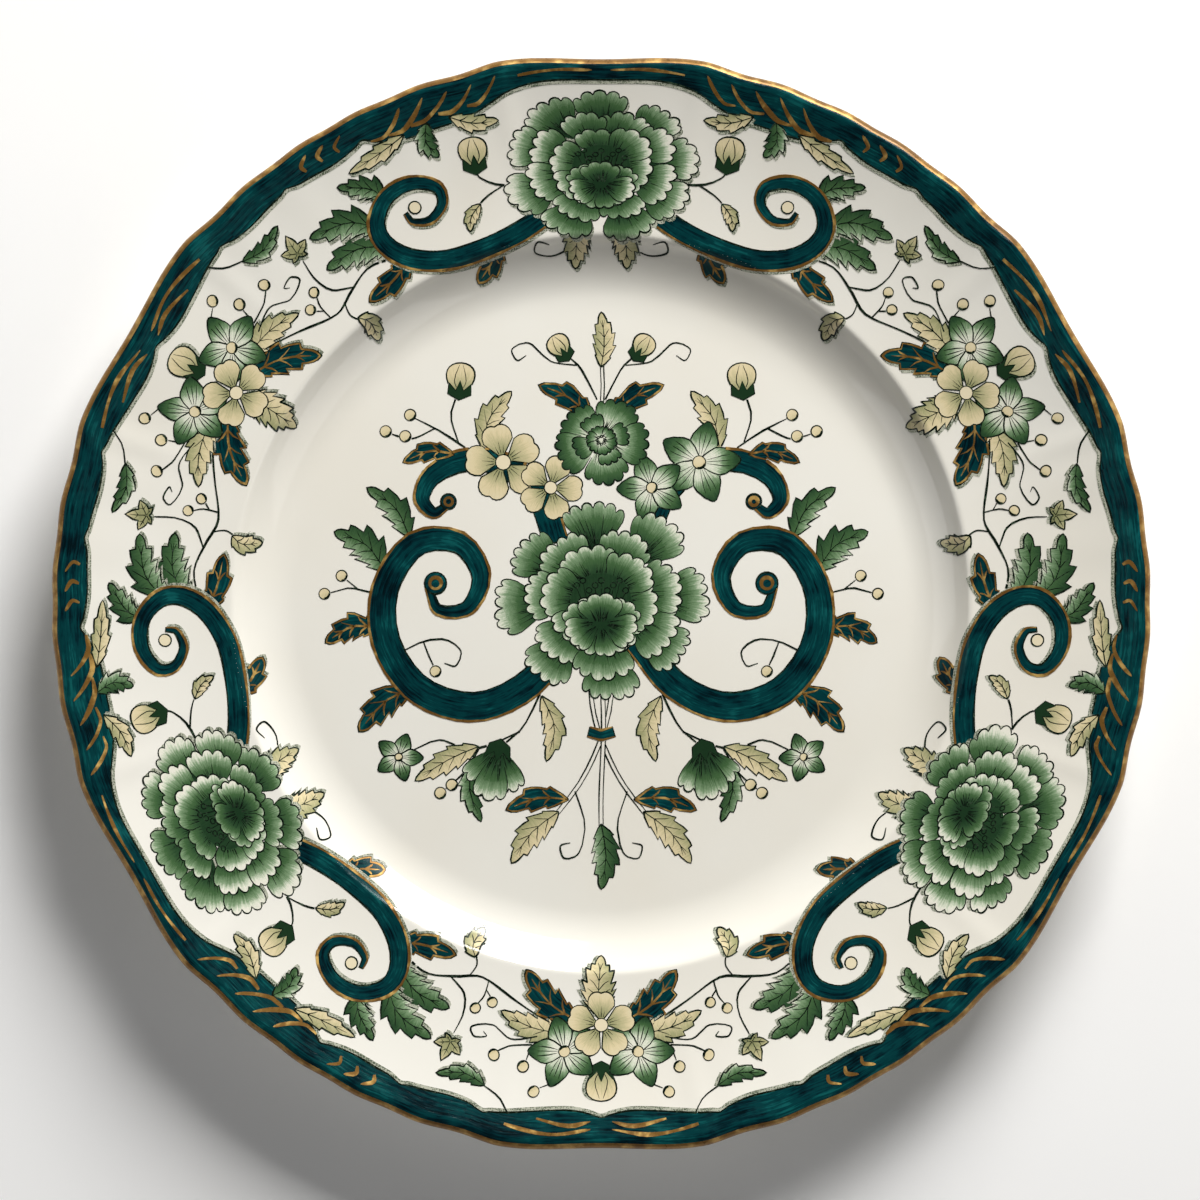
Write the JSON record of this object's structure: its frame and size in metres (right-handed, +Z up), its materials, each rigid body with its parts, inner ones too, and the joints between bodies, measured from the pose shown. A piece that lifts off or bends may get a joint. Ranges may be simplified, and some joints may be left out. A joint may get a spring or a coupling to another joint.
{
  "type": "dinner plate",
  "caption": "China dinner plate with a coved well, a broad dished rim, a softly lobed gilt edge, a foot ring and a flowered, scrolled pattern.",
  "frame": {"origin": "centre of the circle on which the foot ring stands", "axes": "+Z up out of the well, +Y towards the top of the pattern, +X to the right of the pattern"},
  "size_m": [0.2658, 0.2644, 0.0245],
  "materials": {
    "clay": "unglazed fired earthenware, cream, fine-grained, seen only on the foot ring's standing face",
    "glaze": "glossy warm-white lead glaze with faint waviness, specks and use scratches",
    "enamel": "glossy deep blue-green enamel, hand brushed and streaky",
    "gilt": "bronze-toned gold, brushed on by hand, worn on the high places",
    "print": "black-green printed outlines under the glaze",
    "shade": "grey-green stippled shadow tone, printed under the glaze",
    "green_wash": "leaf-green wash that pales towards white at the petal edges",
    "yellow_wash": "pale straw-yellow wash with an olive tone"
  },
  "bodies": {
    "root": {"ironstone_body": "clay", "face_glaze": "glaze", "base_glaze": "glaze", "border_enamel": "enamel", "gilt_edge": "gilt"}
  },
  "joints": []
}
